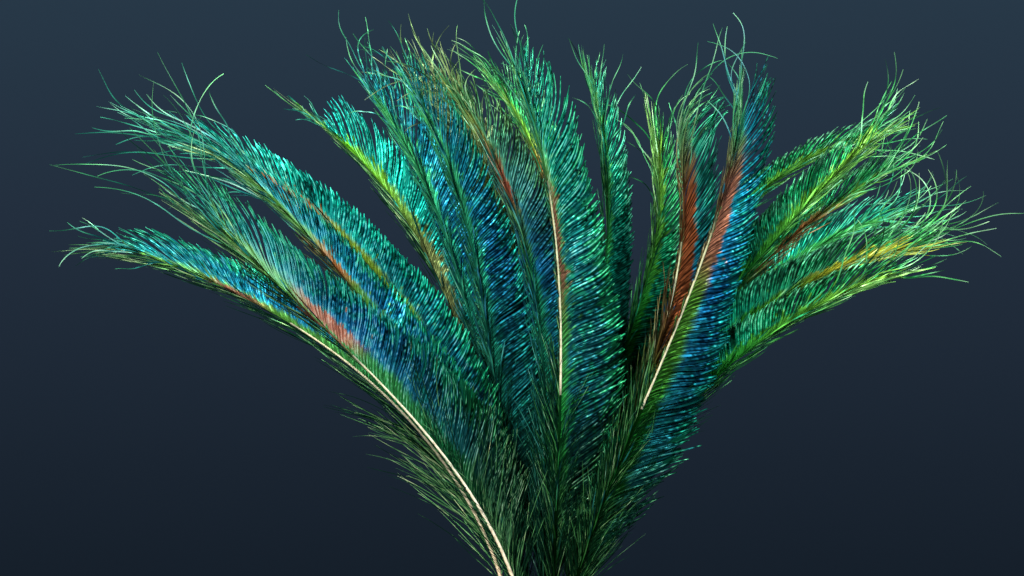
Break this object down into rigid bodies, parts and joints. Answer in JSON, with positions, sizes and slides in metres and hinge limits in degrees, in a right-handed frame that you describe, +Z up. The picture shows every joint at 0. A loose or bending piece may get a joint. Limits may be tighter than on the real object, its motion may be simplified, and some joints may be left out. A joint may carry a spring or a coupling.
{
  "type": "bunch of peacock feathers in a vase",
  "caption": "Fanned bunch of curved, eyeless peacock sword feathers, green to blue, standing loose in a plain turned stoneware vase.",
  "frame": {"origin": "centre of the vase's flat foot, on the surface that it stands on", "axes": "+Z up along the vase's axis, +X to the viewer's right across the fan, +Y away from the viewer"},
  "size_m": [0.5891, 0.2599, 0.5235],
  "materials": {
    "stoneware": "matte dark stoneware, fine speckle, fired clay",
    "vane_teal": "iridescent feather barbs, turquoise",
    "vane_blue": "iridescent feather barbs, blue",
    "vane_green": "iridescent feather barbs, green",
    "vane_olive": "iridescent feather barbs, olive to copper",
    "vane_lime": "iridescent feather barbs, yellow green"
  },
  "bodies": {
    "root": {"vase": "stoneware", "feather_left_1": "vane_teal", "feather_left_2": "vane_teal", "feather_left_3": "vane_blue", "feather_left_4": "vane_green", "feather_left_5": "vane_lime", "feather_left_6": "vane_teal", "feather_left_7": "vane_blue", "feather_left_8": "vane_olive", "feather_middle_1": "vane_teal", "feather_middle_2": "vane_blue", "feather_middle_3": "vane_green", "feather_middle_4": "vane_olive", "feather_middle_5": "vane_green", "feather_middle_6": "vane_green", "feather_right_1": "vane_blue", "feather_right_2": "vane_lime", "feather_right_3": "vane_olive", "feather_right_4": "vane_olive", "feather_right_5": "vane_green", "feather_right_6": "vane_green", "feather_right_7": "vane_lime", "feather_right_8": "vane_green"}
  },
  "joints": []
}
